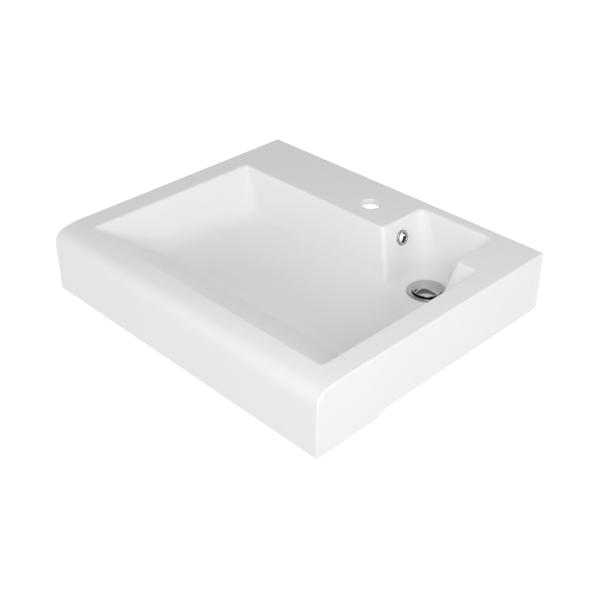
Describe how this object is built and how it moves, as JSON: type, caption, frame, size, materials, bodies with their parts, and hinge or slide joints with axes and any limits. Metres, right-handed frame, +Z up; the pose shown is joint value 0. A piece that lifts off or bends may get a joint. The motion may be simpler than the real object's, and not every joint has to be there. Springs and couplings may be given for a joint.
{
  "type": "washing machine basin",
  "caption": "Wall-hung rectangular basin with a shallow bowl, a tap deck and an offset drain recess with a push-to-open domed waste, made to hang over a washing machine.",
  "frame": {"origin": "centre of the two wall bolt holes, on the face that meets the wall", "axes": "+X to the right as seen from the front, +Y into the wall, +Z up"},
  "size_m": [0.6, 0.5, 0.1601],
  "materials": {
    "glaze": "glossy white glaze",
    "chrome": "polished chrome plate",
    "brass": "turned brass",
    "steel": "bright stainless steel",
    "rubber": "matt black rubber",
    "white_plastic": "moulded plastic"
  },
  "bodies": {
    "basin_set": {"basin": "glaze", "overflow_ring": "chrome", "flange_gasket": "rubber", "waste_body": "chrome", "cone_gasket": "rubber", "slip_washer": "white_plastic", "locknut": "brass", "cartridge_housing": "brass", "cartridge_gland": "brass", "lift_spring": "steel"},
    "plug": {"lift_stem": "steel", "plug_seal": "rubber", "plug_cap": "chrome"},
    "latch": {"latch_rotor": "white_plastic"}
  },
  "joints": [
    {"name": "plug_lift", "type": "slide", "parent": "basin_set", "child": "plug", "axis": [0, 0, 1], "range_m": [0, 0.008], "deforming": ["lift_spring"]},
    {"name": "latch_turn", "type": "hinge", "parent": "plug", "child": "latch", "pos_m": [0.146, -0.0885, -0.0543], "axis": [0, 0, 1], "continuous": true}
  ]
}
